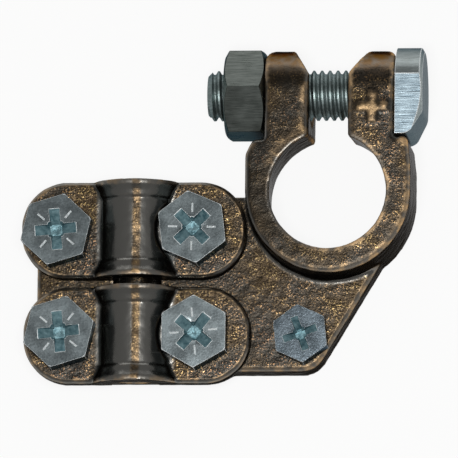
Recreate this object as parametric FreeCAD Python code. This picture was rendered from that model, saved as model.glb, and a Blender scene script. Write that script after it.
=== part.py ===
import FreeCAD, Part
import math
import os

os.makedirs("parts", exist_ok=True)

# Battery terminal clamp, in millimetres. The origin is on the axis of the post bore, in the plane of
# the flat underside. X runs along the plate towards the post, Y towards the ears, Z up.
Vector = FreeCAD.Vector
to_right = Vector(1, 0, 0)
to_ears = Vector(0, 1, 0)
upwards = Vector(0, 0, 1)

# Ring round the battery post
casting_height = 14.5
post_radius = 9.1
post_taper = 1 / 18
ring_wall = 3.9
left_shoulder_y = 5.8
right_shoulder_y = 4.0
left_ledge_x = 11.8
right_ledge_x = 12.5
shoulder_rounding = 1.6
ledge_rounding = 1.0
ledge_foot_rounding = 0.25
ledge_clearance = 0.3

# Ears that the pinch bolt draws together
left_ear_thickness = 7.0
right_ear_thickness = 7.4
slot_half_width = 3.05
pinch_y = 16.0
pinch_rise = 0.25
ear_reach = 7.0
left_ear_bevel_x = 2.6
right_ear_bevel_x = 3.2
ear_bevel_y = 4.4
ear_inner_rounding = 1.0
ear_outer_rounding = 2.0
pinch_hole_radius = 4.5

# Plate that carries the saddles
plate_thickness = 6.0
plate_left = -46.3
plate_top_inset = 1.95
plate_bottom_inset = 2.25
plate_corner_radius = 7.0
slant_foot_x = -2.3
slant_foot_radius = 4.3
slant_head_x = 10.2
slant_head_y = -6.4

# Cable that the saddles grip, with its axis level with the plate's upper face
cable_radius = 3.7
cable_x = -30.5

# Saddles
saddle_thickness = 3.0
saddle_width = 15.3
saddle_end_flat = 0.9
saddle_gap = 1.3
plate_lobe_inset = 0.9
saddle_barrel_wall = 2.4
flare_rise = 1.05
flare_length = 2.6
flare_ledge = 0.25
flare_knee = 0.35
flare_lip = 0.7
upper_saddle = {"left": -48.5, "right": -13.1, "y": -5.4}
lower_saddle = {"left": -48.1, "right": -12.3, "y": upper_saddle["y"] - saddle_width - saddle_gap}

# Screws that hold the saddles, with the turn of each hexagon and of each recess in degrees
saddle_screw = {"across_flats": 10.0, "head": 4.0, "radius": 2.95, "recess": 3.15, "wing": 1.7}
saddle_screw_hole = 3.3
spot_face_clearance = 0.2
saddle_screw_tap = 3.0
screw_end_height = 0.4
saddle_screw_places = {
    "saddle_screw_upper_left": {"saddle": upper_saddle, "x": -42.7, "rise": -0.4, "hexagon": 17, "cross": 5},
    "saddle_screw_upper_right": {"saddle": upper_saddle, "x": -21.3, "rise": -0.1, "hexagon": 37, "cross": 44},
    "saddle_screw_lower_left": {"saddle": lower_saddle, "x": -42.1, "rise": 0.0, "hexagon": 17, "cross": 6},
    "saddle_screw_lower_right": {"saddle": lower_saddle, "x": -20.9, "rise": 0.0, "hexagon": 30, "cross": 50},
}

# Screw for a small extra lead
accessory_screw = {"across_flats": 8.0, "head": 3.5, "radius": 2.45, "recess": 2.8, "wing": 1.4}
accessory_place = {"x": -4.5, "from_edge": 5.5, "hexagon": 36, "cross": 20}
accessory_tap = 2.5

# Pinch bolt and its nut
bolt_radius = 3.95
bolt_tip_x = -19.3
bolt_tip_chamfer = 0.9
bolt_head_length = 4.3
bolt_head_radius = 7.4
bolt_head_flat = 7.0
bolt_head_foot = 7.1
bolt_head_bevel_x = 2.05
bolt_head_bevel_y = 3.65
nut_across_flats = 13.0
nut_length = 6.5
nut_bore_radius = 4.0
nut_turn = 27

# Rounding and chamfers
ring_rounding = 0.9
plate_bevel = 0.5
chamfer_slope = math.radians(30)
nut_chamfer_start = 0.95
screw_chamfer_start = 1.06
recess_depth = 2.2
recess_floor = 0.5

# Distance below which two points count as one
tolerance = 1e-6

# Sizes that follow from the ones above
ring_radius = post_radius + ring_wall
ear_end_y = pinch_y + ear_reach
pinch_z = casting_height / 2 + pinch_rise
ear_end_radius = casting_height - pinch_z
left_ear_face = slot_half_width + left_ear_thickness
right_ear_face = slot_half_width + right_ear_thickness
left_ledge_y = pinch_y - nut_across_flats / math.sqrt(3) - ledge_clearance
right_ledge_y = pinch_y - bolt_head_foot - ledge_clearance
saddle_lobe_radius = (saddle_width - saddle_end_flat) / 2
plate_top_edge = upper_saddle["y"] + saddle_width / 2 - plate_top_inset
plate_bottom_edge = lower_saddle["y"] - saddle_width / 2 + plate_bottom_inset
accessory_y = plate_bottom_edge + accessory_place["from_edge"]
barrel_radius = cable_radius + saddle_barrel_wall
saddle_top = plate_thickness + saddle_thickness
spot_face_radius = saddle_screw["across_flats"] / math.sqrt(3) + spot_face_clearance


def rounded_outline(corners):
    """Flat face with a closed outline through corners (a, b, radius), each one rounded."""
    edges = []
    arcs = []
    for index, (a, b, radius) in enumerate(corners):
        corner = Vector(a, b, 0)
        before = Vector(*corners[index - 1][:2], 0) - corner
        after = Vector(*corners[(index + 1) % len(corners)][:2], 0) - corner
        before.normalize()
        after.normalize()
        half_angle = before.getAngle(after) / 2
        reach = radius / math.tan(half_angle)
        bisector = before + after
        middle = corner
        if radius > 0:
            bisector.normalize()
            middle = corner + bisector * (radius / math.sin(half_angle) - radius)
        arcs.append((corner + before * reach, middle, corner + after * reach, radius))
    for index, (start, middle, end, radius) in enumerate(arcs):
        if radius > 0:
            edges.append(Part.Arc(start, middle, end).toShape())
        next_start = arcs[(index + 1) % len(arcs)][0]
        if end.distanceToPoint(next_start) > tolerance:
            edges.append(Part.LineSegment(end, next_start).toShape())
    return Part.Face(Part.Wire(Part.__sortEdges__(edges)))


def turn_to_side(shape):
    """Turns a shape so that its X, Y and Z run along Y, Z and X, with what stood upright now to the right."""
    shape.rotate(Vector(0, 0, 0), to_right + to_ears + upwards, 120)
    return shape


def slab(corners, low, high):
    """Upright slab with a rounded outline."""
    face = rounded_outline(corners)
    face.translate(Vector(0, 0, low))
    return face.extrude(upwards * (high - low))


def upper_edges(solid, height):
    """The edges that lie in a slab's upper face."""
    return [edge for edge in solid.Edges if edge.BoundBox.ZMin > height - tolerance]


def bevelled_slab(corners, low, high):
    """Upright slab with a rounded outline and a small bevel round its upper face."""
    solid = slab(corners, low, high)
    return solid.makeChamfer(plate_bevel, upper_edges(solid, high))


def ear_corners(side, shoulder_y, ledge_x, ledge_y, ear_face, bevel_x):
    """Corners of one side of the ring and its ear, from the ring's foot to the slot."""
    return [
        (side * ring_radius, -ring_radius, ring_radius),
        (side * ring_radius, shoulder_y, shoulder_rounding),
        (side * ledge_x, ledge_y, ledge_rounding),
        (side * ear_face, ledge_y, ledge_foot_rounding),
        (side * ear_face, ear_end_y, ear_outer_rounding),
        (side * (slot_half_width + bevel_x), ear_end_y, ear_inner_rounding),
        (side * slot_half_width, ear_end_y - ear_bevel_y, ear_inner_rounding),
        (side * slot_half_width, 0, 0),
    ]


def ring_and_ears():
    """Ring and both ears, as seen from above and from the side."""
    right = ear_corners(1, right_shoulder_y, right_ledge_x, right_ledge_y, right_ear_face, right_ear_bevel_x)
    left = ear_corners(-1, left_shoulder_y, left_ledge_x, left_ledge_y, left_ear_face, left_ear_bevel_x)
    plan = slab(right + left[::-1], 0, casting_height)
    plan = plan.makeFillet(ring_rounding, upper_edges(plan, casting_height))
    past_ring = -2 * ring_radius
    side_corners = [
        (past_ring, 0, 0),
        (ear_end_y, 0, ear_end_radius),
        (ear_end_y, casting_height, ear_end_radius),
        (past_ring, casting_height, 0),
    ]
    side = turn_to_side(rounded_outline(side_corners))
    side.translate(to_right * past_ring)
    return plan.common(side.extrude(to_right * 4 * ring_radius))


def plate():
    """Plate with its slanted end, which runs under the ring."""
    corners = [
        (plate_left, plate_top_edge, plate_corner_radius),
        (plate_left, plate_bottom_edge, plate_corner_radius),
        (slant_foot_x, plate_bottom_edge, slant_foot_radius),
        (slant_head_x, slant_head_y, 0),
        (0, plate_top_edge, 0),
    ]
    return bevelled_slab(corners, 0, plate_thickness)


def saddle_foot(saddle, low, high, inset):
    """Flat foot of a saddle, or the lobe of the plate that it sits on."""
    half_width = saddle_width / 2 - inset
    radius = saddle_lobe_radius - inset
    left = saddle["left"] + inset
    right = saddle["right"] - inset
    corners = [
        (left, saddle["y"] - half_width, radius),
        (right, saddle["y"] - half_width, radius),
        (right, saddle["y"] + half_width, radius),
        (left, saddle["y"] + half_width, radius),
    ]
    return bevelled_slab(corners, low, high)


def upright_hole(x, y, radius):
    """Upright hole through everything at one place."""
    return Part.makeCylinder(radius, 2 * casting_height, Vector(x, y, -casting_height / 2), upwards)


def cable_channel(length, y):
    """Round channel of the cable, half of it in the plate and half in the saddles."""
    return Part.makeCylinder(cable_radius, length, Vector(cable_x, y - length / 2, plate_thickness), to_ears)


def clamp_body():
    """The whole casting: ring, ears and plate."""
    body = ring_and_ears().fuse(plate())
    for saddle in (upper_saddle, lower_saddle):
        body = body.fuse(saddle_foot(saddle, 0, plate_thickness, plate_lobe_inset))
    bore_foot = post_radius + casting_height * post_taper
    cuts = [Part.makeCone(bore_foot, post_radius, casting_height, Vector(0, 0, 0), upwards)]
    cuts.append(Part.makeCylinder(pinch_hole_radius, 4 * ring_radius,
                                  Vector(-2 * ring_radius, pinch_y, pinch_z), to_right))
    cuts.append(cable_channel(4 * saddle_width, (plate_top_edge + plate_bottom_edge) / 2))
    for place in saddle_screw_places.values():
        cuts.append(upright_hole(place["x"], place["saddle"]["y"] + place["rise"], saddle_screw_tap))
    cuts.append(upright_hole(accessory_place["x"], accessory_y, accessory_tap))
    for cut in cuts:
        body = body.cut(cut)
    return body.removeSplitter()


def barrel_side(centre_y, side):
    """Half of the barrel's turned form, from its middle out to one flared rim."""
    end = saddle_width / 2
    flare_start = end - flare_length
    rim_radius = barrel_radius + flare_rise
    ledge_radius = barrel_radius + flare_ledge
    lip_start = end - flare_lip
    profile = Part.makePolygon([
        Vector(0, 0, 0),
        Vector(0, 0, barrel_radius),
        Vector(0, flare_start, barrel_radius),
        Vector(0, flare_start, ledge_radius),
        Vector(0, (flare_start + lip_start) / 2, ledge_radius + flare_knee * (rim_radius - ledge_radius)),
        Vector(0, lip_start, rim_radius),
        Vector(0, end, rim_radius),
        Vector(0, end, 0),
        Vector(0, 0, 0),
    ])
    face = Part.Face(profile)
    if side < 0:
        face = face.mirror(Vector(0, 0, 0), to_ears)
    face.translate(Vector(cable_x, centre_y, plate_thickness))
    return face.revolve(Vector(cable_x, centre_y, plate_thickness), to_ears, 360)


def saddle_piece(saddle):
    """Cast saddle: a flat foot on each side and a half-tube with flared rims over the cable."""
    barrel = barrel_side(saddle["y"], 1).fuse(barrel_side(saddle["y"], -1))
    upper_half = Part.makeBox(4 * barrel_radius, 2 * saddle_width, 2 * barrel_radius,
                              Vector(cable_x - 2 * barrel_radius, saddle["y"] - saddle_width, plate_thickness))
    solid = saddle_foot(saddle, plate_thickness, saddle_top, 0).fuse(barrel.common(upper_half))
    solid = solid.cut(cable_channel(2 * saddle_width, saddle["y"]))
    for place in saddle_screw_places.values():
        if place["saddle"] is saddle:
            y = saddle["y"] + place["rise"]
            solid = solid.cut(upright_hole(place["x"], y, saddle_screw_hole))
            spot = Part.makeCylinder(spot_face_radius, casting_height, Vector(place["x"], y, saddle_top))
            solid = solid.cut(spot)
    return solid.removeSplitter()


def hexagon(across_flats, length, turn):
    """Hexagonal prism on the Z axis."""
    corner_radius = across_flats / math.sqrt(3)
    points = []
    for corner in range(7):
        angle = math.radians(turn + 60 * corner)
        points.append(Vector(corner_radius * math.cos(angle), corner_radius * math.sin(angle), 0))
    return Part.Face(Part.makePolygon(points)).extrude(upwards * length)


def turned_chamfer(across_flats, length, start):
    """Turned form whose sloping shoulder takes the corners off the upper end of a head or nut."""
    outer = across_flats
    inner = start * across_flats / 2
    drop = (outer - inner) * math.tan(chamfer_slope)
    cone = Part.makeCone(outer, inner, drop, Vector(0, 0, length - drop), upwards)
    if drop < length:
        cone = cone.fuse(Part.makeCylinder(outer, length - drop))
    return cone


def cross_recess(screw, turn):
    """Cross recess in a head, with wings that narrow towards its floor."""
    wings = []
    for arm in range(2):
        wing = Part.makeBox(2 * screw["recess"], screw["wing"], recess_depth,
                            Vector(-screw["recess"], -screw["wing"] / 2, screw["head"] - recess_depth))
        wing.rotate(Vector(0, 0, 0), upwards, turn + 90 * arm)
        wings.append(wing)
    cone = Part.makeCone(screw["recess"] * recess_floor, screw["recess"], recess_depth,
                         Vector(0, 0, screw["head"] - recess_depth), upwards)
    return wings[0].fuse(wings[1]).common(cone)


def headed_screw(screw, place, y, seat):
    """Hexagon-head screw, seated with its head at the given height."""
    head = hexagon(screw["across_flats"], screw["head"], place["hexagon"])
    head = head.common(turned_chamfer(screw["across_flats"], screw["head"], screw_chamfer_start))
    length = seat - screw_end_height
    shank = Part.makeCylinder(screw["radius"], length, Vector(0, 0, -length), upwards)
    solid = head.fuse(shank).cut(cross_recess(screw, place["cross"])).removeSplitter()
    solid.translate(Vector(place["x"], y, seat))
    return solid


def bolt_head():
    """Head whose side next to the casting is square, so that the casting's shoulder stops its turning."""
    start = Vector(right_ear_face, pinch_y, pinch_z)
    disc = Part.makeCylinder(bolt_head_radius, bolt_head_length, start, to_right)
    band = Part.makeBox(bolt_head_length, bolt_head_foot + bolt_head_radius, 2 * bolt_head_flat,
                        start - Vector(0, bolt_head_foot, bolt_head_flat))
    foot = Part.makeBox(bolt_head_length, bolt_head_foot, 2 * bolt_head_flat,
                        start - Vector(0, bolt_head_foot, bolt_head_flat))
    head = disc.common(band).fuse(foot)
    chamfer = turn_to_side(turned_chamfer(2 * bolt_head_flat, bolt_head_length, nut_chamfer_start))
    chamfer.translate(start)
    end_x = right_ear_face + bolt_head_length
    foot_y = pinch_y - bolt_head_foot
    bevel_points = [
        Vector(end_x - bolt_head_bevel_x, foot_y, 0),
        Vector(end_x, foot_y + bolt_head_bevel_y, 0),
        Vector(end_x, foot_y, 0),
        Vector(end_x - bolt_head_bevel_x, foot_y, 0),
    ]
    bevel = Part.Face(Part.makePolygon(bevel_points)).extrude(upwards * 2 * casting_height)
    return head.common(chamfer).cut(bevel)


def pinch_bolt():
    """Pinch bolt with its head on the right ear."""
    length = right_ear_face - bolt_tip_x - bolt_tip_chamfer
    tip = Part.makeCone(bolt_radius - bolt_tip_chamfer, bolt_radius, bolt_tip_chamfer,
                        Vector(bolt_tip_x, pinch_y, pinch_z), to_right)
    shank = Part.makeCylinder(bolt_radius, length,
                              Vector(bolt_tip_x + bolt_tip_chamfer, pinch_y, pinch_z), to_right)
    return bolt_head().fuse(shank).fuse(tip).removeSplitter()


def pinch_nut():
    """Nut on the left ear, chamfered at both ends."""
    nut = hexagon(nut_across_flats, nut_length, 0)
    upper = turned_chamfer(nut_across_flats, nut_length, nut_chamfer_start)
    lower = upper.mirror(Vector(0, 0, nut_length / 2), upwards)
    nut = nut.common(upper).common(lower)
    nut = nut.cut(Part.makeCylinder(nut_bore_radius, nut_length))
    nut = turn_to_side(nut)
    nut.rotate(Vector(0, 0, 0), to_right, nut_turn)
    nut.translate(Vector(-left_ear_face - nut_length, pinch_y, pinch_z))
    return nut


def accessory_screw_piece():
    """Small screw in the plate's lower right corner."""
    return headed_screw(accessory_screw, accessory_place, accessory_y, plate_thickness)


pieces = {
    "clamp_body": clamp_body(),
    "saddle_upper": saddle_piece(upper_saddle),
    "saddle_lower": saddle_piece(lower_saddle),
    "pinch_bolt": pinch_bolt(),
    "pinch_nut": pinch_nut(),
    "accessory_screw": accessory_screw_piece(),
}
for name, place in saddle_screw_places.items():
    screw_y = place["saddle"]["y"] + place["rise"]
    pieces[name] = headed_screw(saddle_screw, place, screw_y, saddle_top)

for name, shape in pieces.items():
    box = shape.BoundBox
    print(name, "solids", len(shape.Solids), "valid", shape.isValid(), "volume", round(shape.Volume, 1),
          "x", round(box.XMin, 2), round(box.XMax, 2), "y", round(box.YMin, 2), round(box.YMax, 2),
          "z", round(box.ZMin, 2), round(box.ZMax, 2))
    shape.exportStep(os.path.join("parts", name + ".step"))
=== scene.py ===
import math
import bpy
import numpy as np
from mathutils import Euler, Matrix, Vector


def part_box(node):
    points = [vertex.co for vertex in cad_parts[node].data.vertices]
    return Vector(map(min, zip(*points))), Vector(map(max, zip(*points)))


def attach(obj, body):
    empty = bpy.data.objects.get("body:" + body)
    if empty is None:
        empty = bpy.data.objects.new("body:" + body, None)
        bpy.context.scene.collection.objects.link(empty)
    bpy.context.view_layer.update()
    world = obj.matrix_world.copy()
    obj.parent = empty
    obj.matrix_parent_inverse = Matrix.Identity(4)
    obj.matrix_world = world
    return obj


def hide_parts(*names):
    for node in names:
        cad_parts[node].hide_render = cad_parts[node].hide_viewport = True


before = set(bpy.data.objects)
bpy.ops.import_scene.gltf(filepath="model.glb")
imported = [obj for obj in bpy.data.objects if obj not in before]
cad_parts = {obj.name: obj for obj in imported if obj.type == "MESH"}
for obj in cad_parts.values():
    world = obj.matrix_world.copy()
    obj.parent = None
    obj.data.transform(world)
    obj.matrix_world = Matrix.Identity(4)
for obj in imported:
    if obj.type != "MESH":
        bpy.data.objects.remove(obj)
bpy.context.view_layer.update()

mm = 0.001
sameSpot = 0.002 * mm                       # points closer than this are one point
print("frame loaded:", len(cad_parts), "nodes")


def deselectAll():
    if bpy.context.mode != "OBJECT":
        bpy.ops.object.mode_set(mode="OBJECT")
    bpy.ops.object.select_all(action="DESELECT")


def pick(piece):
    deselectAll()
    piece.select_set(True)
    bpy.context.view_layer.objects.active = piece


def editAll(piece):                         # edit mode with the whole mesh selected
    pick(piece)
    bpy.ops.object.mode_set(mode="EDIT")
    bpy.ops.mesh.select_mode(type="VERT")
    bpy.ops.mesh.select_all(action="SELECT")


def leaveEdit():
    bpy.ops.object.mode_set(mode="OBJECT")


def selectVerts(piece, wanted):             # edit mode with only the wanted points selected
    editAll(piece)
    bpy.ops.mesh.select_all(action="DESELECT")
    leaveEdit()
    for vert in piece.data.vertices:
        vert.select = wanted(vert.co)
    bpy.ops.object.mode_set(mode="EDIT")


def selectEdges(piece, wanted):             # edit mode with only the wanted edges selected
    editAll(piece)
    bpy.ops.mesh.select_all(action="DESELECT")
    bpy.ops.mesh.select_mode(type="EDGE")
    leaveEdit()
    points = piece.data.vertices
    for edge in piece.data.edges:
        edge.select = wanted(*(points[index].co for index in edge.vertices))
    bpy.ops.object.mode_set(mode="EDIT")


def mergePoints(piece, reach=sameSpot):
    editAll(piece)
    bpy.ops.mesh.remove_doubles(threshold=reach)
    leaveEdit()


def applyModifiers(piece):
    pick(piece)
    for modifier in list(piece.modifiers):
        bpy.ops.object.modifier_apply(modifier=modifier.name)


def applyPlace(piece):
    pick(piece)
    bpy.ops.object.transform_apply(location=True, rotation=True, scale=True)


def moveTo(piece, place, turn=(0, 0, 0)):
    piece.location = place
    piece.rotation_euler = Euler(turn)
    applyPlace(piece)


def nameAndPaint(piece, name, *materials):
    piece.name = name
    piece.data.name = name
    piece.data.materials.clear()
    for material in materials:
        piece.data.materials.append(material)


def combine(piece, tool, operation):        # the tool's own material stays on the faces that it leaves
    modifier = piece.modifiers.new(operation.title(), "BOOLEAN")
    modifier.operation = operation
    modifier.solver = "EXACT"
    modifier.material_mode = "TRANSFER"
    modifier.object = tool
    applyModifiers(piece)
    bpy.data.objects.remove(tool)


def bevelEdges(piece, width, angle, material):
    modifier = piece.modifiers.new("Bevel", "BEVEL")
    modifier.width = width
    modifier.segments = 3
    modifier.limit_method = "ANGLE"
    modifier.angle_limit = math.radians(angle)
    modifier.material = material
    modifier.miter_outer = "MITER_ARC"
    applyModifiers(piece)


def smoothByAngle(piece, angle):            # round faces look round, flat ones beside them stay flat
    pick(piece)
    bpy.ops.object.shade_smooth_by_angle(angle=math.radians(angle))
    flatten = piece.modifiers.new("Weighted Normal", "WEIGHTED_NORMAL")
    flatten.mode = "FACE_AREA"
    flatten.weight = 100
    flatten.keep_sharp = True
    applyModifiers(piece)


def copyOfNode(node, name):                 # a node's mesh in a new object, its triangles joined
    piece = bpy.data.objects.new(name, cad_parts[node].data.copy())
    bpy.context.collection.objects.link(piece)
    mergePoints(piece)
    return piece


def boxCentre(node):
    low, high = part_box(node)
    return (Vector(low) + Vector(high)) / 2


black, white = [0, 0, 0, 1], [1, 1, 1, 1]


def linear(hexColour):
    channels = [int(hexColour[i:i + 2], 16) / 255 for i in (1, 3, 5)]
    return [c / 12.92 if c <= 0.04045 else ((c + 0.055) / 1.055) ** 2.4 for c in channels] + [1.0]


def stops(places, first=black, last=white):
    return [(places[0], first), (places[1], last)]


def addNode(tree, kind, settings=None, links=None):
    node = tree.nodes.new(kind)
    for key, value in (settings or {}).items():
        if key == "stops":                  # places and colours of a colour ramp
            while len(node.color_ramp.elements) < len(value):
                node.color_ramp.elements.new(0.5)
            for element, (place, colour) in zip(node.color_ramp.elements, value):
                element.position = place
                element.color = colour
        elif isinstance(key, int) or key in node.inputs:
            node.inputs[key].default_value = value
        else:
            setattr(node, key, value)
    for key, source in (links or {}).items():
        tree.links.new(source, node.inputs[key])
    return node


def newMaterial(name):
    material = bpy.data.materials.new(name)
    material.use_nodes = True
    material.node_tree.nodes.clear()
    return material, material.node_tree


def finishMaterial(tree, shader):
    addNode(tree, "ShaderNodeOutputMaterial", links={"Surface": shader.outputs[0]})


bronzeLook = {
    "smooth": "#7a7975", "oxide": "#3a3834", "brown": "#42372a", "pit": "#211f1b", "bare": "#735b40",
    "gold": "#b09766", "copper": "#a07a58", "edgeGold": "#d6b488",
    "grazing": "#3a352f",                   # rough oxide mirrors little at a low angle
    "grainSize": 0.30,                      # mm, a grain of moulding sand
    "lumpSize": 1.5,                        # mm, a clod of the same sand
    "patchSize": 7.0,                       # mm, a patch of patina
    "grainDepth": 0.048, "lumpDepth": 0.10, "smoothRelief": 0.10,
    "patches": (0.38, 0.62), "brokenLumps": (0.42, 0.60), "softLumps": (0.36, 0.62),
    "pits": (0.34, 0.46), "proudGrains": (0.54, 0.68),
    "brokenLeast": 0.12, "softLeast": 0.5,  # wear that is left between the lumps
    "shelterAndShade": 0.75,                        # how dark sand stays where nothing rubs it, and where shade is painted
    "smoothRoughness": 0.25, "sandRoughness": 0.36, "goldRoughness": 0.27, "edgeRoughness": 0.60,
}


def makeCastBronze():
    # Sand-cast bronze under a dark patina: rubbed high spots show gold grain, sheltered faces stay
    # near black. The rub map also paints light and shade: more gold and fewer dark pits to the lower
    # right, painted shade on the ring's left. The wear map also holds painted highlights along the
    # left ear's slot, round the bore and on the saddles' crests. It reads four maps from the castings'
    # points: wear with highlights, sand, rub with painted light, and bare.
    look = bronzeLook
    material, tree = newMaterial("sandCastBronze")
    place = addNode(tree, "ShaderNodeTexCoord").outputs["Object"]
    wear, sand, rub, bare = [
        addNode(tree, "ShaderNodeAttribute", {"attribute_name": name}).outputs["Fac"]
        for name in ("wear", "sand", "rub", "bare")]
    patches, lumps, grain = [
        addNode(tree, "ShaderNodeTexNoise",
                {"Scale": 1 / (look[size] * mm), "Detail": detail, "Roughness": rough},
                {"Vector": place}).outputs["Fac"]
        for size, detail, rough in (("patchSize", 3.0, 0.5), ("lumpSize", 2.0, 0.5),
                                    ("grainSize", 2.0, 0.6))]

    # smooth drawn skin, or a sandy one of oxide and brown in broad soft patches
    patchShare = addNode(tree, "ShaderNodeValToRGB", {"stops": stops(look["patches"])},
                         {"Fac": patches})
    sandy = addNode(tree, "ShaderNodeMix",
                    {"data_type": "RGBA", 6: linear(look["oxide"]), 7: linear(look["brown"])},
                    {0: patchShare.outputs["Color"]})
    skin = addNode(tree, "ShaderNodeMix", {"data_type": "RGBA", 6: linear(look["smooth"])},
                   {0: sand, 7: sandy.outputs[2]})
    broken, soft = [
        addNode(tree, "ShaderNodeValToRGB", {"stops": stops(look[lumpy], [look[least]] * 3 + [1])},
                {"Fac": lumps})
        for lumpy, least in (("brokenLumps", "brokenLeast"), ("softLumps", "softLeast"))]
    blotched = addNode(tree, "ShaderNodeMath", {"operation": "MULTIPLY"},
                       {0: bare, 1: soft.outputs["Color"]})
    rubbedEnds = addNode(tree, "ShaderNodeMix", {"data_type": "RGBA", 7: linear(look["bare"])},
                         {0: blotched.outputs[0], 6: skin.outputs[2]})

    # pits between the grains of sand
    low = addNode(tree, "ShaderNodeValToRGB", {"stops": stops(look["pits"], white, black)},
                  {"Fac": grain})
    # where the rub map is low the pits go dark: shelter, and the painted shade at the clamp's left
    shelterAndShade = addNode(tree, "ShaderNodeMath",
                      {"operation": "MULTIPLY_ADD", 1: -look["shelterAndShade"], 2: look["shelterAndShade"]}, {0: rub})
    dark = addNode(tree, "ShaderNodeMath", {"operation": "MAXIMUM"},
                   {0: low.outputs["Color"], 1: shelterAndShade.outputs[0]})
    pitShare = addNode(tree, "ShaderNodeMath", {"operation": "MULTIPLY"},
                       {0: dark.outputs[0], 1: sand})
    pitted = addNode(tree, "ShaderNodeMix", {"data_type": "RGBA", 7: linear(look["pit"])},
                     {0: pitShare.outputs[0], 6: rubbedEnds.outputs[2]})

    # gold or copper where single grains stand proud and hands have rubbed them; the rub map also
    # paints light here, with more gold to the lower right
    proud = addNode(tree, "ShaderNodeValToRGB", {"stops": stops(look["proudGrains"])}, {"Fac": grain})
    rubbedAndLit = addNode(tree, "ShaderNodeMath", {"operation": "MULTIPLY"},
                     {0: rub, 1: broken.outputs["Color"]})
    proudSand = addNode(tree, "ShaderNodeMath", {"operation": "MULTIPLY"},
                        {0: proud.outputs["Color"], 1: sand})
    goldShare = addNode(tree, "ShaderNodeMath", {"operation": "MULTIPLY"},
                        {0: proudSand.outputs[0], 1: rubbedAndLit.outputs[0]})
    tone = addNode(tree, "ShaderNodeMix",
                   {"data_type": "RGBA", 6: linear(look["copper"]), 7: linear(look["gold"])},
                   {0: patchShare.outputs["Color"]})
    grained = addNode(tree, "ShaderNodeMix", {"data_type": "RGBA"},
                      {0: goldShare.outputs[0], 6: pitted.outputs[2], 7: tone.outputs[2]})

    # and along rubbed edges, and along the painted highlights that the wear map holds
    edges = addNode(tree, "ShaderNodeMath", {"operation": "MULTIPLY"},
                    {0: wear, 1: broken.outputs["Color"]})
    colour = addNode(tree, "ShaderNodeMix", {"data_type": "RGBA", 7: linear(look["edgeGold"])},
                     {0: edges.outputs[0], 6: grained.outputs[2]})
    skinRough = addNode(tree, "ShaderNodeMapRange",
                        {"To Min": look["smoothRoughness"], "To Max": look["sandRoughness"]},
                        {"Value": sand})
    goldRough = addNode(tree, "ShaderNodeMix", {3: look["goldRoughness"]},
                        {0: goldShare.outputs[0], 2: skinRough.outputs[0]})
    rough = addNode(tree, "ShaderNodeMix", {3: look["edgeRoughness"]},
                    {0: wear, 2: goldRough.outputs[0]})

    # relief: fine sand over shallow lumps, both flatter on the smooth faces
    strength = addNode(tree, "ShaderNodeMapRange", {"To Min": look["smoothRelief"], "To Max": 1.0},
                       {"Value": sand})
    fine = addNode(tree, "ShaderNodeBump", {"Distance": look["grainDepth"] * mm},
                   {"Height": grain, "Strength": strength.outputs[0]})
    coarse = addNode(tree, "ShaderNodeBump", {"Distance": look["lumpDepth"] * mm},
                     {"Height": lumps, "Strength": strength.outputs[0], "Normal": fine.outputs[0]})
    shader = addNode(tree, "ShaderNodeBsdfPrincipled",
                     {"Metallic": 1.0, "Specular Tint": linear(look["grazing"])},
                     {"Base Color": colour.outputs[2], "Roughness": rough.outputs[0],
                      "Normal": coarse.outputs[0]})
    finishMaterial(tree, shader)
    return material


steelLook = {
    "cloudSize": 3.0,                       # mm, a stain or a thicker spot of the plating
    "cloudShare": 0.25, "shades": (0.34, 0.66),
    "cloudRange": (0.3, 0.7), "calm": 0.85, "rough": 1.2,      # shares of the roughness
}


def makeSteel(name, light, dark, roughness, grainSize, grainDepth, lines=None, metallic=1.0,
              grazing="#7a848c"):
    # Steel in two close shades, with a fine grain or with drawn lines along X. The real grain is
    # finer: it is drawn as coarse as it needs to show. Sizes are in mm.
    look = steelLook
    material, tree = newMaterial(name)
    place = addNode(tree, "ShaderNodeTexCoord").outputs["Object"]
    scale = (grainSize / lines, 1, 1) if lines else (1, 1, 1)  # drawn out to the length of the lines
    drawn = addNode(tree, "ShaderNodeMapping", {"Scale": scale}, {"Vector": place})
    grain = addNode(tree, "ShaderNodeTexNoise",
                    {"Scale": 1 / (grainSize * mm), "Detail": 3.0, "Roughness": 0.65},
                    {"Vector": drawn.outputs[0]})
    clouds = addNode(tree, "ShaderNodeTexNoise",
                     {"Scale": 1 / (look["cloudSize"] * mm), "Detail": 2.0}, {"Vector": place})
    mixed = addNode(tree, "ShaderNodeMix", {0: look["cloudShare"]},
                    {2: grain.outputs["Fac"], 3: clouds.outputs["Fac"]})
    shade = addNode(tree, "ShaderNodeValToRGB",
                    {"stops": stops(look["shades"], linear(dark), linear(light))},
                    {"Fac": mixed.outputs[0]})
    rough = addNode(tree, "ShaderNodeMapRange",
                    {"From Min": look["cloudRange"][0], "From Max": look["cloudRange"][1],
                     "To Min": roughness * look["calm"], "To Max": roughness * look["rough"]},
                    {"Value": clouds.outputs["Fac"]})
    bump = addNode(tree, "ShaderNodeBump", {"Distance": grainDepth * mm, "Strength": 1.0},
                   {"Height": grain.outputs["Fac"]})
    shader = addNode(tree, "ShaderNodeBsdfPrincipled",
                     {"Metallic": metallic, "Specular Tint": linear(grazing)},
                     {"Base Color": shade.outputs["Color"], "Roughness": rough.outputs[0],
                      "Normal": bump.outputs[0]})
    finishMaterial(tree, shader)
    return material


castBronze = makeCastBronze()
# Zinc plating with a blue-white passivation: an even satin grey with a cold cast.
zincPlating = makeSteel("bluePassivatedZinc", "#747c7e", "#565d5f", 0.24, 0.30, 0.008)
# A thicker, shinier layer of it on the small screw.
brightZinc = makeSteel("brightPassivatedZinc", "#69737a", "#495257", 0.19, 0.30, 0.014)
# The same plating where it pooled in a recess: thicker, greener and half matt.
pooledZinc = makeSteel("passivationInRecess", "#86a4aa", "#44646c", 0.42, 0.70, 0.10, metallic=0.5)
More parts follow.
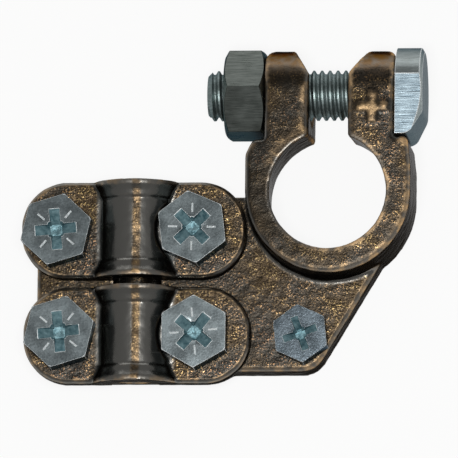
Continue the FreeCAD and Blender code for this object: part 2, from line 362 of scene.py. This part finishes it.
# Edges and burrs where a tool pressed the plating thin, drawn near white and half matt so that every
# edge shows a bright line from any side: a painted highlight over the thin plating. They glint in
# broken lines.
bareEdgeAndHighlight = makeSteel("thinPlatedEdgeAndHighlight", "#eef1f1", "#c9cfd0", 0.55, 0.22, 0.06, metallic=0.7)
# Drawn hexagon bar with a dull grey plating: fine lines run along the bar.
drawnSteel = makeSteel("drawnBarSteel", "#747975", "#4e534f", 0.30, 0.20, 0.012, lines=2.2)
# The bar's corners are drawn darker.
darkerCorner = makeSteel("darkerCorner", "#3a3f3b", "#262a27", 0.40, 0.20, 0.01)
# Zinc on the bolt's head, paler than on the screws.
headZinc = makeSteel("paleZincPlating", "#a0a8a8", "#848b8a", 0.30, 0.30, 0.010, lines=2.0,
                     grazing="#7f8a92")
# The bolt head's flat, dressed on a belt: bright, with deep lines across.
dressedFlat = makeSteel("beltDressedSteel", "#b0c1c9", "#5f6f79", 0.34, 0.15, 0.018, lines=2.6)
# Rolled thread, oily and half matt: the crests catch a soft grey light.
rolledThread = makeSteel("rolledThreadSteel", "#939fa0", "#67736f", 0.46, 0.30, 0.012)
print("materials made")


castingLook = {
    "clampVoxel": 0.30, "saddleVoxel": 0.20, "smoothing": 2,
    "hollows": 0.09, "hollowSize": 1.7,     # depth and width of the skin's shallow hollows
    "blur": 3,                              # passes
    "sharpest": 99,                         # percentile of the points that counts as a sharp edge
    "edgeWear": (0.22, 0.80),               # shares of that sharpness where wear begins and is full
}
cableX = -30.5                              # the cable's axis, in mm
plusMark = {"x": 7.0, "y": 13.2, "size": 4.8, "stroke": 1.15, "rise": 0.34}


def shellFacts(piece):                      # points, outward normals and edges of a mesh
    mesh = piece.data
    places = np.empty(len(mesh.vertices) * 3)
    mesh.vertices.foreach_get("co", places)
    normals = np.empty(len(mesh.vertices) * 3)
    mesh.vertices.foreach_get("normal", normals)
    edges = np.empty(len(mesh.edges) * 2, dtype=np.int64)
    mesh.edges.foreach_get("vertices", edges)
    return places.reshape(-1, 3), normals.reshape(-1, 3), edges.reshape(-1, 2)


def neighbourMean(values, edges):
    total = np.zeros_like(values)
    share = np.zeros(len(values))
    for a, b in ((0, 1), (1, 0)):
        np.add.at(total, edges[:, a], values[edges[:, b]])
        np.add.at(share, edges[:, a], 1)
    share = np.maximum(share, 1)
    return total / (share[:, None] if values.ndim == 2 else share)


def ramp(values, low, high):                # 0 at low, 1 at high, smooth between them
    t = np.clip((values - low) / (high - low), 0, 1)
    return t * t * (3 - 2 * t)


def near(values, middle, reach):            # 1 at the middle, fading out beyond the reach
    return np.exp(-((values - middle) / reach) ** 2)


def storeOnPoints(piece, name, values):
    layer = piece.data.attributes.new(name, "FLOAT", "POINT")
    layer.data.foreach_set("value", np.clip(values, 0, 1).astype(np.float32))


def weather(piece, skinOf):                 # where edges are rubbed, faces sandy or bare, and where light, shade and highlights are painted
    look = castingLook
    places, normals, edges = shellFacts(piece)
    bulge = -np.einsum("ij,ij->i", neighbourMean(places, edges) - places, normals)
    upward = normals[:, 2]
    for _ in range(look["blur"]):
        bulge = neighbourMean(bulge, edges)
        upward = neighbourMean(upward, edges)
    sand, rub, bare, wornAndGlint = skinOf(places / mm, normals, upward)
    edgeWear = ramp(bulge / np.percentile(bulge, look["sharpest"]), *look["edgeWear"])
    # the wear map holds rubbed edges and the skins' painted highlights; the rub map holds wear and
    # painted light
    storeOnPoints(piece, "wear", np.maximum(edgeWear * rub, wornAndGlint))
    storeOnPoints(piece, "sand", sand)
    storeOnPoints(piece, "rub", rub)
    storeOnPoints(piece, "bare", bare)


def makeCasting(node, name, body, voxel, skinOf, extra=None):
    piece = copyOfNode(node, name)
    if extra:
        combine(piece, extra, "UNION")
    remesh = piece.modifiers.new("Remesh", "REMESH")
    remesh.mode = "VOXEL"
    remesh.voxel_size = voxel * mm
    remesh.use_smooth_shade = True
    smooth = piece.modifiers.new("Smooth", "SMOOTH")
    smooth.factor = 0.5
    smooth.iterations = castingLook["smoothing"]
    hollows = bpy.data.textures.new(name + "Hollows", "CLOUDS")
    hollows.noise_scale = castingLook["hollowSize"] * mm
    hollows.noise_depth = 2
    sink = piece.modifiers.new("Displace", "DISPLACE")
    sink.texture = hollows
    sink.texture_coords = "LOCAL"
    sink.strength = castingLook["hollows"] * mm
    sink.mid_level = 1.0                    # the sand only sinks the skin, so nothing leaves the solid
    applyModifiers(piece)
    weather(piece, skinOf)
    nameAndPaint(piece, name, castBronze)
    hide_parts(node)
    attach(piece, body)
    print(name, "faces", len(piece.data.polygons))


def makePlus():                             # raised sign of the positive pole on the right ear
    mark = plusMark
    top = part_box("clamp_body")[1][2]
    bars = []
    for size in ((mark["size"], mark["stroke"]), (mark["stroke"], mark["size"])):
        bpy.ops.mesh.primitive_cube_add(size=1, location=(mark["x"] * mm, mark["y"] * mm, top))
        bar = bpy.context.object
        bar.scale = (size[0] * mm, size[1] * mm, 2 * mark["rise"] * mm)
        applyPlace(bar)
        bars.append(bar)
    combine(bars[0], bars[1], "UNION")
    return bars[0]


# places in mm where each kind of wear or painted light begins and is full, and its share there
clampWear = {
    "shadeX": (-10, 8), "shadeY": (-2, 10), "shelterAndShade": 0.9,                # painted shade on the ring's left
    # the ring is drawn lighter to the right, painted light, and a little darker beyond y 16.5 to 18
    "ringLeft": 0.42, "ringAcross": (-6, 7), "bandDark": 0.12, "band": (16.5, 18),
    # the plate is drawn lighter to the right as well: painted light
    "plateLeft": 0.5, "plateRise": 0.25, "plateAcross": (-20, 0), "fromPlateToRing": (8, 12),
    # a painted highlight along the left ear's slot edge and round the bore's upper left
    "slotEdge": (-4.0, 0.5), "slotEdgeFrom": (8, 10), "slotEdgeTo": (16, 17),
    "boreEdge": (10.2, 0.5), "boreEdgeFrom": (3, 7), "boreEdgeLeft": (2, 4),
    "glintLevel": 0.9, "glintGold": 0.35, "lineUp": (0.6, 0.9),
    "sign": (14.53, 14.70), "signCalm": 0.55, "signWorn": 0.45,
    "endsTurned": (0.20, 0.70), "endsFrom": (16.5, 19), "walls": 0.35, "wallsUp": (0.3, 0.7),
    "sandUp": (0.75, 0.98),
}


def clampSkin(places, normals, upward):
    # sandy on top and bare on the ears' ends. Lighter to the lower right and darker at the ring's
    # left:
    # painted light and painted shade, carried by the rub map.
    look = clampWear
    x, y, z = places.T
    paintedShadeLeft = near(x, *look["shadeX"]) * near(y, *look["shadeY"])
    across = look["ringLeft"] + (1 - look["ringLeft"]) * ramp(x, *look["ringAcross"])
    ring = (1 - look["shelterAndShade"] * paintedShadeLeft) * across * (1 - look["bandDark"] * ramp(y, *look["band"]))
    plate = look["plateLeft"] + look["plateRise"] * ramp(x, *look["plateAcross"])

    # a painted highlight: one bright line runs down the left ear's slot edge and on round the bore
    slotEdge = near(x, *look["slotEdge"]) * ramp(y, *look["slotEdgeFrom"]) \
        * (1 - ramp(y, *look["slotEdgeTo"]))
    boreEdge = near(np.hypot(x, y), *look["boreEdge"]) * ramp(y, *look["boreEdgeFrom"]) \
        * ramp(-x, *look["boreEdgeLeft"])
    glintLine = np.maximum(slotEdge, boreEdge)
    sign = ramp(z, *look["sign"])           # the raised sign is rubbed evenly
    rub = (plate + (ring - plate) * ramp(z, *look["fromPlateToRing"])) * (1 - look["signCalm"] * sign)
    rub = np.maximum(rub, look["glintLevel"] * glintLine)
    ends = ramp(normals[:, 1], *look["endsTurned"]) * ramp(y, *look["endsFrom"])
    walls = look["walls"] * (1 - ramp(upward, *look["wallsUp"]))
    wornAndGlint = np.maximum(look["signWorn"] * sign, look["glintGold"] * glintLine * ramp(upward, *look["lineUp"]))
    return ramp(upward, *look["sandUp"]), rub, np.maximum(ends, walls), wornAndGlint


saddleWear = {
    # the crest strip sits under the key lamp's highlight; its gold is partly a painted highlight
    "feet": (5.6, 6.4), "feetUp": (0.75, 0.97), "crestGlintShift": 0.4, "crest": (0.4, 0.9),
    "crestUp": (0.8, 0.95), "crestWornAndGlint": 0.25, "flankRub": 0.35,
}


def saddleSkin(places, normals, upward):
    # the feet are sandy, and so is a narrow strip along the top of the smooth barrel. The strip is
    # shifted 0.4 mm off the crest towards the key lamp's highlight, and its gold is worn metal and
    # painted highlight together.
    look = saddleWear
    across = places[:, 0] - cableX
    feet = ramp(np.abs(across), *look["feet"]) * ramp(upward, *look["feetUp"])
    crest = 1 - ramp(np.abs(across - look["crestGlintShift"]), *look["crest"])
    crest = crest * ramp(upward, *look["crestUp"])
    sand = np.maximum(feet, crest)
    rub = look["flankRub"] + (1 - look["flankRub"]) * sand
    return sand, rub, np.zeros(len(places)), look["crestWornAndGlint"] * crest


deselectAll()
makeCasting("clamp_body", "clampCasting", "clamp", castingLook["clampVoxel"], clampSkin, makePlus())
for node, name, body in (("saddle_upper", "upperSaddleCasting", "upper_saddle"),
                         ("saddle_lower", "lowerSaddleCasting", "lower_saddle")):
    makeCasting(node, name, body, castingLook["saddleVoxel"], saddleSkin)


threadLook = {
    "flat": 0.22, "flank": 0.28,            # shares of the pitch; rolled crests are nearly flat
    "spare": 1.5,                           # pitches drawn past each end, and cut off again
    "round": 0.06,                          # mm from the crest to the cylinder that cuts the ends
}


def threadedRod(crest, root, pitch, low, high, chamfer, material, steps):
    # one pitch of the thread's profile is drawn upwards and turned round Z, then cut to length
    look = threadLook
    bpy.ops.mesh.primitive_plane_add(size=mm)
    rod = bpy.context.object
    editAll(rod)
    bpy.ops.mesh.merge(type="CENTER")
    bpy.ops.transform.translate(value=(root * mm, 0, (low - look["spare"] * pitch) * mm))
    rise, flat, flank = crest - root, pitch * look["flat"], pitch * look["flank"]
    for out, up in ((0, flat / 2), (rise, flank), (0, flat), (-rise, flank), (0, flat / 2)):
        bpy.ops.mesh.extrude_region_move(TRANSFORM_OT_translate={"value": (out * mm, 0, up * mm)})
    leaveEdit()
    helix = rod.modifiers.new("Screw", "SCREW")
    helix.axis = "Z"
    helix.screw_offset = pitch * mm
    helix.iterations = math.ceil((high - low) / pitch + 2 * look["spare"])
    helix.steps = helix.render_steps = steps
    applyModifiers(rod)
    editAll(rod)
    bpy.ops.mesh.remove_doubles(threshold=sameSpot)
    bpy.ops.mesh.fill_holes(sides=0)
    bpy.ops.mesh.normals_make_consistent(inside=False)
    leaveEdit()
    nameAndPaint(rod, "rod", material)
    bpy.ops.mesh.primitive_cylinder_add(vertices=96, radius=(crest + look["round"]) * mm,
                                        depth=(high - low) * mm,
                                        location=(0, 0, (low + high) / 2 * mm))
    limit = bpy.context.object
    applyPlace(limit)
    nameAndPaint(limit, "limit", material)
    if chamfer:
        selectVerts(limit, lambda point: point.z < (low + high) / 2 * mm)
        bpy.ops.mesh.bevel(offset=chamfer * mm, affect="EDGES")
        leaveEdit()
    combine(rod, limit, "INTERSECT")
    return rod


saddleScrew = {
    "plating": zincPlating,
    "acrossFlats": 10.0, "head": 4.0, "cornerStart": 1.12, "edge": 0.18,
    "recess": 3.25, "wing": 1.8, "depth": 1.5, "floor": 0.9, "wingTaper": 0.8,
    "bowl": 1.5, "bowlDepth": 1.55,
    "notch": 0.6, "notchReach": 2.1, "notchDepth": 0.6, "notchTaper": 0.6,
    "tickStart": 2.3, "tickEnd": 3.75, "tick": 0.22,
    "crest": 2.95, "root": 2.35, "pitch": 1.0, "chamfer": 0.5,
}
accessoryScrew = {
    "plating": brightZinc,
    "acrossFlats": 8.0, "head": 3.5, "cornerStart": 1.12, "edge": 0.17,
    "recess": 2.8, "wing": 1.4, "depth": 1.5, "floor": 0.8, "wingTaper": 0.6,
    "bowl": 1.15, "bowlDepth": 1.45,
    "notch": 0,                             # a plain cross, with neither notches nor ticks
    "crest": 2.45, "root": 1.95, "pitch": 0.8, "chamfer": 0.4,
}
# turns of the hexagon and of the recess, in degrees
screwPlaces = {
    "saddle_screw_upper_left": ("upperLeftScrew", "upper_left_screw", saddleScrew, 17, 5),
    "saddle_screw_upper_right": ("upperRightScrew", "upper_right_screw", saddleScrew, 37, 44),
    "saddle_screw_lower_left": ("lowerLeftScrew", "lower_left_screw", saddleScrew, 17, 6),
    "saddle_screw_lower_right": ("lowerRightScrew", "lower_right_screw", saddleScrew, 30, 50),
    "accessory_screw": ("accessoryScrew", "accessory", accessoryScrew, 36, 20),
}
headLook = {
    "above": 1.0,                           # mm that the tools reach above the head
    "recessInside": 0.42,                   # share of the width across flats that holds the recess
    "thinTo": 0.3,                          # mm below the top where its edges are plated again
    "sliver": 0.02,                         # mm, shorter edges would hold the bevel back
    "bevelFrom": 28, "smoothTo": 24,        # degrees between faces
    "rodInside": 0.3, "steps": 32,
}


def cutter(size, place, turn, material, floorShare):
    # block that reaches above the head, its lower end drawn in
    bpy.ops.mesh.primitive_cube_add(size=1, location=place)
    tool = bpy.context.object
    tool.scale = size
    applyPlace(tool)
    selectVerts(tool, lambda point: point.z < place[2])
    bpy.ops.transform.resize(value=(floorShare[0], floorShare[1], 1), center_override=place)
    leaveEdit()
    tool.rotation_euler = (0, 0, math.radians(turn))
    applyPlace(tool)
    nameAndPaint(tool, "cutter", material)
    return tool


def makeHead(spec, hexTurn):
    flats, height = spec["acrossFlats"], spec["head"]
    bpy.ops.mesh.primitive_cylinder_add(vertices=6, radius=flats / math.sqrt(3) * mm,
                                        depth=height * mm, location=(0, 0, height / 2 * mm),
                                        rotation=(0, 0, math.radians(hexTurn - 30)))
    head = bpy.context.object
    applyPlace(head)
    nameAndPaint(head, "head", spec["plating"], pooledZinc, bareEdgeAndHighlight)

    # the corners are turned off at 30 degrees
    start = spec["cornerStart"] * flats / 2
    drop = (flats - start) * math.tan(math.radians(30))
    bpy.ops.mesh.primitive_cone_add(vertices=96, radius1=flats * mm, radius2=start * mm,
                                    depth=drop * mm)
    cone = bpy.context.object
    cone.location.z = (height - drop / 2) * mm
    applyPlace(cone)
    selectVerts(cone, lambda point: point.z < (height - drop / 2) * mm)
    bpy.ops.mesh.extrude_region_move(TRANSFORM_OT_translate={"value": (0, 0, -2 * height * mm)})
    leaveEdit()
    nameAndPaint(cone, "cone", spec["plating"])
    combine(head, cone, "INTERSECT")
    return head


def cutRecess(head, spec, crossTurn):
    look, top, above = headLook, spec["head"], headLook["above"]
    middle = (0, 0, (top + (above - spec["depth"]) / 2) * mm)
    slope = (spec["recess"] - spec["floor"]) / spec["depth"]   # a wing leans in as it goes down
    length = 2 * (spec["recess"] + slope * above)
    tools = []
    for arm in range(2):
        tools.append(cutter((length * mm, spec["wing"] * mm, (spec["depth"] + above) * mm), middle,
                            crossTurn + 90 * arm, pooledZinc,
                            (2 * spec["floor"] / length, spec["wingTaper"])))
    if spec["notch"]:
        middle = (0, 0, (top + (above - spec["notchDepth"]) / 2) * mm)
        tall = (above + spec["notchDepth"]) * mm
        for arm in range(2):
            tools.append(cutter((2 * spec["notchReach"] * mm, spec["notch"] * mm, tall), middle,
                                crossTurn + 45 + 90 * arm, pooledZinc, (spec["notchTaper"],) * 2))
    for tool in tools:
        combine(head, tool, "DIFFERENCE")
    mergePoints(head, look["sliver"] * mm)
    # the bevels take the near-white edge material: a painted highlight line along each edge
    bevelEdges(head, spec["edge"] * mm, look["bevelFrom"], 2)
    inside = spec["acrossFlats"] * look["recessInside"] * mm
    for face in head.data.polygons:         # the plating is whole again further down
        if face.material_index == 2 and math.hypot(*face.center[:2]) < inside \
                and face.center.z < (top - look["thinTo"]) * mm:
            face.material_index = 1

    # bowl in the middle, where the punch's point went in
    bowlHeight = top + spec["bowl"] - spec["bowlDepth"]
    bpy.ops.mesh.primitive_uv_sphere_add(segments=24, ring_count=14, radius=spec["bowl"] * mm,
                                         location=(0, 0, bowlHeight * mm))
    bowl = bpy.context.object
    applyPlace(bowl)
    nameAndPaint(bowl, "bowl", pooledZinc)
    combine(head, bowl, "DIFFERENCE")


def cutTicks(head, spec, crossTurn):        # lines pressed between the wings by a square bar's corner
    reach = (spec["tickStart"] + spec["tickEnd"]) / 2 * mm
    for arm in range(4):
        turn = math.radians(crossTurn + 45 + 90 * arm)
        bpy.ops.mesh.primitive_cylinder_add(vertices=4, radius=spec["tick"] / 2 * 1.414 * mm,
                                            depth=(spec["tickEnd"] - spec["tickStart"]) * mm)
        tick = bpy.context.object
        moveTo(tick, (0, 0, 0), (0, math.radians(90), 0))
        moveTo(tick, (reach * math.cos(turn), reach * math.sin(turn), spec["head"] * mm), (0, 0, turn))
        # the ticks take the near-white edge material, so they show as painted highlight lines
        nameAndPaint(tick, "tick", bareEdgeAndHighlight)
        combine(head, tick, "DIFFERENCE")


def makeScrew(node, name, body, spec, hexTurn, crossTurn):
    low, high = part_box(node)
    seat = high[2] / mm - spec["head"]
    head = makeHead(spec, hexTurn)
    cutRecess(head, spec, crossTurn)
    if spec["notch"]:
        cutTicks(head, spec, crossTurn)
    rod = threadedRod(spec["crest"], spec["root"], spec["pitch"], low[2] / mm - seat,
                      headLook["rodInside"], spec["chamfer"], rolledThread, headLook["steps"])
    combine(head, rod, "UNION")
    smoothByAngle(head, headLook["smoothTo"])
    centre = boxCentre(node)
    moveTo(head, (centre.x, centre.y, seat * mm))
    head.name = head.data.name = name
    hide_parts(node)
    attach(head, body)
    print(name, "faces", len(head.data.polygons))


for node, (name, body, spec, hexTurn, crossTurn) in screwPlaces.items():
    makeScrew(node, name, body, spec, hexTurn, crossTurn)


boltLook = {
    "crest": 3.95, "root": 3.38, "pitch": 1.25, "steps": 48,
    "tip": -19.3, "chamfer": 0.9, "headStart": 10.45, "rodInside": 0.4,
    "roundFrom": 12.0, "roundTall": 6.0, "round": 1.1,         # upright edges at the outer end
    "flatWithin": 0.05,                     # mm from the top, and so part of the dressed flat
    "edge": 0.13, "bevelFrom": 20, "smoothTo": 20,
}
nutLook = {
    "thread": 0.06,                         # mm between the nut's thread and the bolt's
    "beyond": 1.0, "edge": 0.14, "bevelFrom": 18, "smoothTo": 20,
}


def lieAlongX(piece, place):                # Z of the piece turns to X
    moveTo(piece, (0, 0, 0), (0, math.radians(90), 0))
    moveTo(piece, place)


def makeBolt():
    look = boltLook
    axis = boxCentre("pinch_nut")
    head = copyOfNode("pinch_bolt", "pinchBolt")
    editAll(head)
    bpy.ops.mesh.bisect(plane_co=(look["headStart"] * mm, 0, 0), plane_no=(1, 0, 0),
                        clear_inner=True, use_fill=True)
    bpy.ops.mesh.select_all(action="SELECT")
    bpy.ops.mesh.remove_doubles(threshold=sameSpot)
    bpy.ops.mesh.dissolve_limited(angle_limit=math.radians(1))
    bpy.ops.mesh.normals_make_consistent(inside=False)
    selectEdges(head, lambda a, b: (a.x > look["roundFrom"] * mm
                                    and abs(a.z - b.z) > look["roundTall"] * mm))
    bpy.ops.mesh.bevel(offset=look["round"] * mm, segments=5, affect="EDGES")
    leaveEdit()
    nameAndPaint(head, "pinchBolt", headZinc, bareEdgeAndHighlight, dressedFlat, rolledThread)
    top = max(vert.co.z for vert in head.data.vertices)
    for face in head.data.polygons:         # the upper flat is dressed
        if face.normal.z > 0.99 and face.center.z > top - look["flatWithin"] * mm:
            face.material_index = 2
    # the bevels take the near-white edge material: a painted highlight line along each edge
    bevelEdges(head, look["edge"] * mm, look["bevelFrom"], 1)
    rod = threadedRod(look["crest"], look["root"], look["pitch"], look["tip"],
                      look["headStart"] + look["rodInside"], look["chamfer"], rolledThread,
                      look["steps"])
    lieAlongX(rod, (0, axis.y, axis.z))
    pick(head)
    rod.select_set(True)
    bpy.ops.object.join()                   # the rod's closed end sits inside the head
    smoothByAngle(head, look["smoothTo"])
    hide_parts("pinch_bolt")
    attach(head, "bolt")
    print("pinchBolt faces", len(head.data.polygons))


def makeNut():
    look, bolt = nutLook, boltLook
    low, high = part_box("pinch_nut")
    axis = boxCentre("pinch_nut")
    nut = copyOfNode("pinch_nut", "pinchNut")
    editAll(nut)
    bpy.ops.mesh.dissolve_limited(angle_limit=math.radians(1))
    leaveEdit()
    nameAndPaint(nut, "pinchNut", drawnSteel, darkerCorner)
    bevelEdges(nut, look["edge"] * mm, look["bevelFrom"], 1)
    tap = threadedRod(bolt["crest"] + look["thread"], bolt["root"] + look["thread"], bolt["pitch"],
                      low[0] / mm - look["beyond"], high[0] / mm + look["beyond"], 0, drawnSteel,
                      bolt["steps"])
    lieAlongX(tap, (0, axis.y, axis.z))
    combine(nut, tap, "DIFFERENCE")
    smoothByAngle(nut, look["smoothTo"])
    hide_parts("pinch_nut")
    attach(nut, "nut")
    print("pinchNut faces", len(nut.data.polygons))


makeBolt()
makeNut()


cameraLook = {
    "target": (-16, -5, 7), "yaw": 5.237, "pitch": 8.72, "roll": 0.55, "distance": 2400,
    "scale": 6.381,                         # pixels to a mm at the target
    "picture": 458, "sensor": 36,           # pixels and mm across the frame
}
lightLook = {
    "key": {"size": 0.09, "distance": 0.40, "irradiance": 1.7, "yaw": 3.0, "pitch": 8.0},
    "back": {"width": 1.2, "height": 0.34, "distance": 1.0, "rise": 0.17, "radiance": 1.2},
    "world": 0.30, "floor": "#f4f4f2", "floorSize": 4.0, "floorDrop": 0.05, "backdropShare": 0.88,
}


def towards(yaw, pitch):                    # direction from the object, tipped right and to the front
    yaw, pitch = math.radians(yaw), math.radians(pitch)
    return Vector((math.sin(yaw) * math.cos(pitch), -math.sin(pitch), math.cos(yaw) * math.cos(pitch)))


def aim(thing, direction, roll=0.0):        # its Z away from the object, its X level, then rolled
    right = Vector((0, 1, 0)).cross(direction).normalized()
    up = direction.cross(right)
    tilted = right * math.cos(roll) + up * math.sin(roll)
    thing.rotation_euler = Matrix((tilted, direction.cross(tilted), direction)).transposed().to_euler()


def makeCamera():
    look = cameraLook
    direction = towards(look["yaw"], look["pitch"])
    data = bpy.data.cameras.new("camera")
    camera = bpy.data.objects.new("camera", data)
    bpy.context.collection.objects.link(camera)
    camera.location = Vector(look["target"]) * mm + direction * look["distance"] * mm
    aim(camera, direction, math.radians(look["roll"]))
    data.sensor_width = look["sensor"]
    data.lens = look["scale"] * look["distance"] * look["sensor"] / look["picture"]
    data.clip_start, data.clip_end = 0.05, 10
    bpy.context.scene.camera = camera


def makeFloor():
    look = lightLook
    bpy.ops.mesh.primitive_plane_add(size=look["floorSize"], location=(0, 0, -look["floorDrop"] * mm))
    floor = bpy.context.object
    applyPlace(floor)
    # matt white paper; the camera and the metal see it as a clean white that still takes the shadow
    material, tree = newMaterial("palePaper")
    ray = addNode(tree, "ShaderNodeLightPath")
    seen = addNode(tree, "ShaderNodeMath", {"operation": "MAXIMUM"},
                   {0: ray.outputs["Is Camera Ray"], 1: ray.outputs["Is Glossy Ray"]})
    seenAll = addNode(tree, "ShaderNodeMath", {"operation": "MAXIMUM"},
                      {0: seen.outputs[0], 1: ray.outputs["Is Transmission Ray"]})
    share = addNode(tree, "ShaderNodeMath", {"operation": "MULTIPLY", 1: look["backdropShare"]},
                    {0: seenAll.outputs[0]})
    paper = addNode(tree, "ShaderNodeBsdfDiffuse", {"Color": linear(look["floor"])})
    glow = addNode(tree, "ShaderNodeEmission", {"Color": white, "Strength": 1.0})
    mixed = addNode(tree, "ShaderNodeMixShader",
                    links={0: share.outputs[0], 1: paper.outputs[0], 2: glow.outputs[0]})
    finishMaterial(tree, mixed)
    nameAndPaint(floor, "floor", material)


def addLamp(name, size, sizeY, place, power):
    data = bpy.data.lights.new(name, "AREA")
    data.shape = "RECTANGLE" if sizeY else "DISK"
    data.size = size
    if sizeY:
        data.size_y = sizeY
    data.energy = power
    lamp = bpy.data.objects.new(name, data)
    bpy.context.collection.objects.link(lamp)
    lamp.location = place
    lamp.visible_camera = False
    aim(lamp, (place - Vector(cameraLook["target"]) * mm).normalized())


def makeLights():
    key, back = lightLook["key"], lightLook["back"]
    target = Vector(cameraLook["target"]) * mm
    addLamp("keySoftbox", key["size"], 0, target + towards(key["yaw"], key["pitch"]) * key["distance"],
            key["irradiance"] * math.pi * key["distance"] ** 2)
    addLamp("backSoftbox", back["width"], back["height"], Vector((0, back["distance"], back["rise"])),
            back["radiance"] * math.pi * back["width"] * back["height"])
    world = bpy.data.worlds.new("room")
    bpy.context.scene.world = world
    world.use_nodes = True
    tree = world.node_tree
    tree.nodes.clear()
    room = addNode(tree, "ShaderNodeBackground", {"Color": white, "Strength": lightLook["world"]})
    addNode(tree, "ShaderNodeOutputWorld", links={"Surface": room.outputs[0]})


makeCamera()
makeFloor()
makeLights()
bpy.context.scene.view_settings.view_transform = "Standard"
print("studio made")
